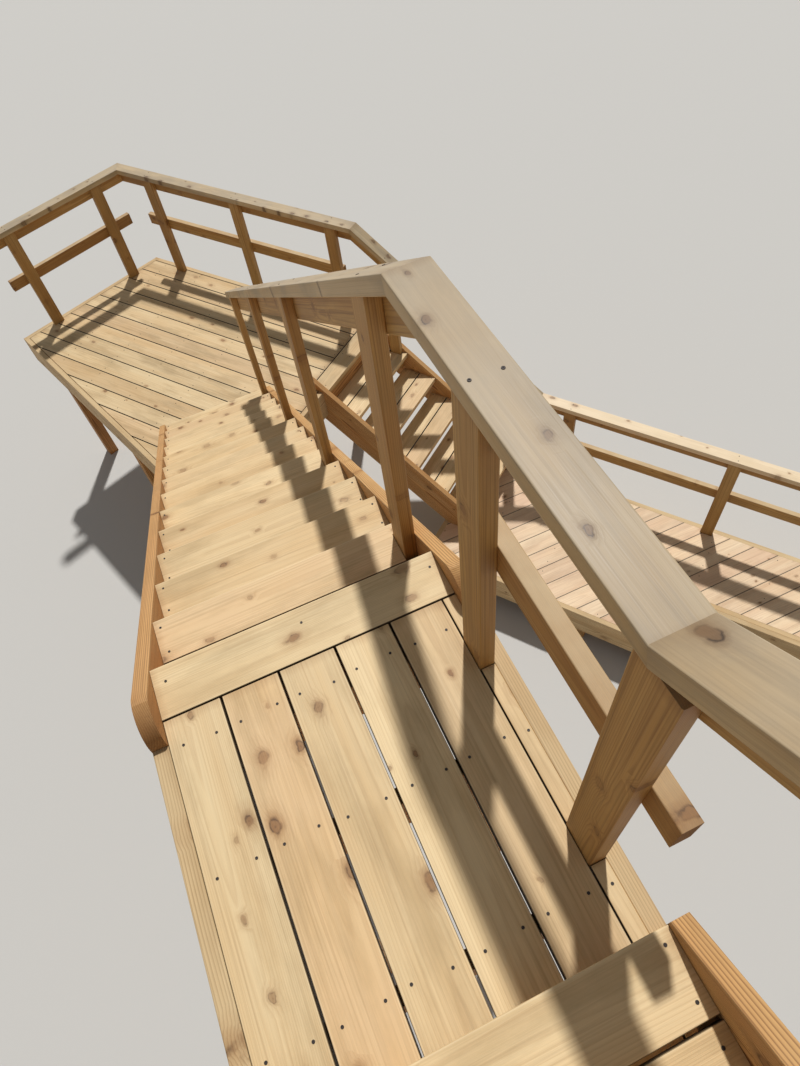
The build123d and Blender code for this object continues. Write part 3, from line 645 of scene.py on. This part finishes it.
finishOfSlot = {
    "decking": "planedCedarDecking",
    "railing": "planedCedarRailing",
    "framing": "sawnFramingTimber",
    "cap_rail": "weatheredCapRail",
}
finishOfNode = {"platform_cap_rail": "sunlitCapRail", "platform_boards": "walkedCedarDecking",
                "lower_landing_boards": "shelteredCedarDecking"}
finishOfNode.update({name: "sawnRimTimber" for name in frame["nodes"] if name.endswith(("_rim", "_rims"))})
slotOfNode = {row["node"]: row["material_slot"] for row in frame["record"]["subparts"]}
pieces = {}
for nodeName in sorted(frame["nodes"]):
    slotName = slotOfNode[nodeName]
    finish = finishOfNode.get(nodeName, finishOfSlot[slotName])
    pieces[nodeName] = dressNode(nodeName, finish, slotName)
print("boards dressed,", sum(len(found) for found in boards.values()))


# Deck screws: small dark heads, in pairs where a board crosses what carries it.
screw = {
    "headRadius": 0.0036,
    "sides": 10,
    "proud": 0.0011,
    "crown": 0.92,               # the rim's radius, as a share of the head's
    "sunk": 0.0004,              # how far the skirt goes into the wood
    "recess": 0.0013,            # half the square driver hole
    "recessCorner": 1.414,       # from its middle to its corners, in halves of it
    "recessTaper": 1.2,          # and the same at its floor
    "recessDepth": 0.0009,
    "fromEdge": 0.028,
    "fromNarrowEdge": 0.6,       # at most this share of half the board
    "fromEnd": 0.020,
    "capSpread": 0.025,          # from the middle of a cap rail, one into the post and one into the side rail
    "rowSpacing": 0.36,          # along a board that lies on its support lengthways
    "wander": 0.005,             # driven by hand, so not quite in line
    "apart": 0.02,
    "roomAround": 0.009,         # the wood is flat this far round a head,
    "flatness": 0.002,           # within this
    "dark": "#1D140E",
    "brown": "#33261B",
    "speckleScale": 400.0,       # grains of 2.5 mm, coarser than real ones
    "roughness": 0.6,
    "metallic": 0.1,
}
support = {
    "upright": 0.9,              # what rises by more than this along its length is a post,
    "sloping": 0.1,              # and a board that rises by more than this follows a flight
    "lengthways": 0.2,           # the sine of the angle under which a board lies along its support
    "seatGap": 0.003,            # a level board lies on what ends this near its underside
    "facesUp": 0.6,              # the least rise of the normal under a head
    "levelDrop": (0.05, 0.12),   # a ray down on to a level board starts this far over it, and is this long
    "slopingDrop": (0.25, 4.0),  # the same over the middle of a sloping one, with half its length added
}


def makeScrewSteel():
    # coated steel deck screws: dark brown phosphate with hardly any sheen
    material = bpy.data.materials.new("coatedScrewSteel")
    material.use_nodes = True
    tree = material.node_tree
    shader = tree.nodes["Principled BSDF"]
    place = addNode(tree, "ShaderNodeTexCoord").outputs["Object"]
    speckle = addNode(tree, "ShaderNodeTexNoise", {"Vector": place, "Scale": screw["speckleScale"],
                                                   "Detail": 2.0})
    colour = addNode(tree, "ShaderNodeMix", {0: speckle, 6: linearColour(screw["dark"]),
                                             7: linearColour(screw["brown"])}, data_type="RGBA")
    tree.links.new(colour.outputs[2], shader.inputs["Base Color"])
    shader.inputs["Roughness"].default_value = screw["roughness"]
    shader.inputs["Metallic"].default_value = screw["metallic"]
    return material


def addScrewHead(bm, place, normal, turn):
    side = normal.orthogonal().normalized()
    side = Matrix.Rotation(turn, 3, normal) @ side
    other = normal.cross(side)
    count = screw["sides"]

    def circle(radius, lift, number):
        ring = []
        for step in range(number):
            angle = 2 * math.pi * step / number
            out = side * math.cos(angle) + other * math.sin(angle)
            ring.append(bm.verts.new(place + out * radius + normal * lift))
        return ring

    skirt = circle(screw["headRadius"], -screw["sunk"], count)
    rim = circle(screw["headRadius"] * screw["crown"], screw["proud"], count)
    hole = circle(screw["recess"] * screw["recessCorner"], screw["proud"], 4)
    floor = circle(screw["recess"] * screw["recessTaper"], screw["proud"] - screw["recessDepth"], 4)
    for step in range(count):
        after = (step + 1) % count
        bm.faces.new((skirt[step], skirt[after], rim[after], rim[step]))
    for step in range(4):
        after = (step + 1) % 4
        bm.faces.new((hole[step], hole[after], floor[after], floor[step]))
    bm.faces.new(floor)
    for step in range(count):        # the flat of the head, from its rim in to the driver hole
        after = (step + 1) % count
        near = hole[int(step * 4 / count + 0.5) % 4]
        nearAfter = hole[int(after * 4 / count + 0.5) % 4 if after else 0]
        bm.faces.new((rim[step], rim[after], near))
        if near is not nearAfter:
            bm.faces.new((rim[after], nearAfter, near))


def crossings(board, carrier):
    # where lines along the board, a little in from its edges, cross the middle of what carries it
    grain, across, _ = board["axes"]
    run, _, _ = carrier["axes"]
    offset = carrier["centre"] - board["centre"]
    if abs(run.z) > support["upright"]:             # a post under a cap rail
        if abs(offset.dot(across)) < board["half"][1] and abs(offset.dot(grain)) < board["half"][0]:
            along = (offset.x * grain.x + offset.y * grain.y) / (grain.x ** 2 + grain.y ** 2)
            middle = board["centre"] + grain * along
            yield middle - across * screw["capSpread"]
            yield middle + across * screw["capSpread"]
        return
    cross = grain.x * run.y - grain.y * run.x
    if abs(cross) < support["lengthways"]:
        if abs(offset.dot(across)) < board["half"][1] - screw["fromEnd"]:
            reach = board["half"][0] - screw["fromEdge"]
            count = max(2, round(2 * reach / screw["rowSpacing"]) + 1)
            for step in range(count):
                along = reach * (2 * step / (count - 1) - 1)
                yield board["centre"] + across * offset.dot(across) + grain * along
        return
    gap = min(screw["fromEdge"], board["half"][1] * screw["fromNarrowEdge"])
    limit = board["half"][0] - screw["fromEnd"]
    for side in (-1, 1):
        start = board["centre"] + across * side * (board["half"][1] - gap)
        delta = carrier["centre"] - start
        along = (delta.x * run.y - delta.y * run.x) / cross
        if abs(along) > limit + carrier["half"][2]:
            continue
        place = start + grain * max(-limit, min(limit, along))
        if abs((place - carrier["centre"]).dot(run)) <= carrier["half"][0]:
            yield place


def carries(carrier, board):
    if abs(board["axes"][0].z) > support["sloping"] or abs(carrier["axes"][0].z) > support["upright"]:
        return True
    return abs(carrier["top"] - board["bottom"]) <= support["seatGap"]


def headSeat(surface, board, x, y):
    # where a head lies on the board's upper face, and the face's normal, if the wood is flat all round it
    sloping = abs(board["axes"][0].z) > support["sloping"]
    if sloping:
        lift, reach = support["slopingDrop"]
        top = board["centre"].z + board["half"][0]
    else:
        lift, reach = support["levelDrop"]
        top = board["top"]
    start = Vector((x, y, top + lift))
    down = Vector((0, 0, -1))
    hit, normal, _, _ = surface.ray_cast(start, down, reach)
    if hit is None or normal.z < support["facesUp"]:
        return None, None
    if not sloping and abs(hit.z - top) > screw["flatness"]:
        return None, None
    room = screw["roomAround"]
    for aside in ((room, 0, 0), (-room, 0, 0), (0, room, 0), (0, -room, 0)):
        beside, _, _, _ = surface.ray_cast(start + Vector(aside), down, reach)
        if beside is None or abs((beside - hit).dot(normal)) > screw["flatness"]:
            return None, None
    return hit, normal


def driveScrews(name, boardNodes, supportNodes):
    dice = random.Random("screws " + name)
    bm = bmesh.new()
    driven = []
    for boardNode in boardNodes:
        solid = bmesh.new()
        solid.from_mesh(pieces[boardNode].data)
        surface = BVHTree.FromBMesh(solid)
        for board in boards[boardNode]:
            for carrier in (found for supportNode in supportNodes for found in boards[supportNode]):
                if not carries(carrier, board):
                    continue
                for place in crossings(board, carrier):
                    x = place.x + dice.uniform(-1, 1) * screw["wander"]
                    y = place.y + dice.uniform(-1, 1) * screw["wander"]
                    hit, normal = headSeat(surface, board, x, y)
                    if hit is not None and all((hit - other).length > screw["apart"] for other in driven):
                        driven.append(hit)
                        addScrewHead(bm, hit, normal, dice.uniform(0, math.pi))
        solid.free()
    mesh = bpy.data.meshes.new(name)
    bm.to_mesh(mesh)
    bm.free()
    mesh.materials.append(screwSteel)
    piece = bpy.data.objects.new(name, mesh)
    bpy.context.scene.collection.objects.link(piece)
    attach(piece, "root")
    print(name, len(driven))
    return piece


screwSteel = makeScrewSteel()
for walk, boardKind, carrierKind in (
    ("upper_landing", "boards", "joists"),
    ("upper_flight", "treads", "cleats"),
    ("middle_flight", "treads", "cleats"),
    ("lower_landing", "boards", "joists"),
    ("lower_flight", "treads", "cleats"),
    ("platform", "boards", "joists"),
):
    driveScrews(walk + "_screws", [walk + "_" + boardKind], [walk + "_" + carrierKind])
driveScrews("upper_cap_screws", ["upper_flight_cap_rail", "upper_landing_cap_rail", "middle_flight_cap_rail"],
            ["upper_rail_posts", "middle_flight_posts"])
driveScrews("lower_cap_screws", ["lower_landing_left_cap_rail", "lower_landing_far_cap_rail",
                                 "lower_flight_cap_rail", "platform_cap_rail"],
            ["lower_landing_posts", "lower_flight_posts", "platform_posts"])
print("screws driven")


# Floor: a plain pale sheet that takes the shadow
floorSheet = {
    "half": 60.0,
    "below": 0.001,              # under the feet of the legs, so that nothing touches it
    "colour": "#C4C1BB",
    "roughness": 0.9,
}


def layFloor():
    material = bpy.data.materials.new("palePaperFloor")
    material.use_nodes = True
    shader = material.node_tree.nodes["Principled BSDF"]
    shader.inputs["Roughness"].default_value = floorSheet["roughness"]
    shader.inputs["Base Color"].default_value = linearColour(floorSheet["colour"])
    half = floorSheet["half"]
    mesh = bpy.data.meshes.new("studio_floor")
    corners = [(-half, -half, 0), (half, -half, 0), (half, half, 0), (-half, half, 0)]
    mesh.from_pydata(corners, [], [(0, 1, 2, 3)])
    mesh.materials.append(material)
    floor = bpy.data.objects.new("studio_floor", mesh)
    bpy.context.scene.collection.objects.link(floor)
    floor.location.z = -floorSheet["below"]
    return floor


layFloor()

# Light: one soft lamp high beyond the foot of the stairs and to their right, and an even sky
studio = {
    "sunStrength": 3.15,
    "sunSpread": 2.2,            # degrees, soft edged shadows
    "sunFrom": (0.27, 0.51, 1.0),
    "skyColour": "#EDF0F4",
    "skyStrength": 0.25,
    "backdropStrength": 0.74,    # what the camera sees behind the stairs, pale
}


def lightStudio():
    lamp = bpy.data.lights.new("soft_key", "SUN")
    lamp.energy = studio["sunStrength"]
    lamp.angle = math.radians(studio["sunSpread"])
    holder = bpy.data.objects.new("soft_key", lamp)
    holder.rotation_mode = "QUATERNION"
    holder.rotation_quaternion = Vector(studio["sunFrom"]).to_track_quat("Z", "Y")
    bpy.context.scene.collection.objects.link(holder)
    world = bpy.data.worlds.new("studio_sky")
    world.use_nodes = True
    tree = world.node_tree
    seen = addNode(tree, "ShaderNodeLightPath").outputs
    looked = seen["Is Camera Ray"]
    for kind in ("Is Glossy Ray", "Is Transmission Ray"):
        looked = addNode(tree, "ShaderNodeMath", {0: looked, 1: seen[kind]}, operation="MAXIMUM")
    strength = addNode(tree, "ShaderNodeMapRange", {0: looked, 1: 0.0, 2: 1.0, 3: studio["skyStrength"],
                                                    4: studio["backdropStrength"]})
    backdrop = tree.nodes["Background"]
    backdrop.inputs["Color"].default_value = linearColour(studio["skyColour"])
    tree.links.new(strength.outputs[0], backdrop.inputs["Strength"])
    bpy.context.scene.world = world


lightStudio()
bpy.context.scene.view_settings.view_transform = "Standard"
print("floor and light set")

# Camera: above the foot of the upper flight, looking down the stairs
camera = {
    "place": (-1.6928, -2.4764, 5.400),
    "yaw": 16.08,                # degrees to the right of the stairs' line
    "pitch": -55.23,
    "roll": -9.44,
    "focal": 739.0,              # pixels, for an image 800 by 1066
    "imageHeight": 1066,
    "sensor": 24.0,              # millimetres
    "clip": (0.02, 300),
}


def aimCamera():
    yaw, pitch, roll = (math.radians(camera[name]) for name in ("yaw", "pitch", "roll"))
    ahead = Vector((math.sin(yaw) * math.cos(pitch), math.cos(yaw) * math.cos(pitch), math.sin(pitch)))
    level = Vector((math.cos(yaw), -math.sin(yaw), 0))
    raised = level.cross(ahead)
    right = math.cos(roll) * level + math.sin(roll) * raised
    up = -math.sin(roll) * level + math.cos(roll) * raised
    data = bpy.data.cameras.new("photo_camera")
    data.sensor_fit = "VERTICAL"
    data.sensor_height = camera["sensor"]
    data.lens = camera["focal"] / camera["imageHeight"] * camera["sensor"]
    data.clip_start, data.clip_end = camera["clip"]
    holder = bpy.data.objects.new("photo_camera", data)
    turn = Matrix((right, up, -ahead)).transposed().to_4x4()
    holder.matrix_world = Matrix.Translation(camera["place"]) @ turn
    bpy.context.scene.collection.objects.link(holder)
    bpy.context.scene.camera = holder


aimCamera()
print("camera set")
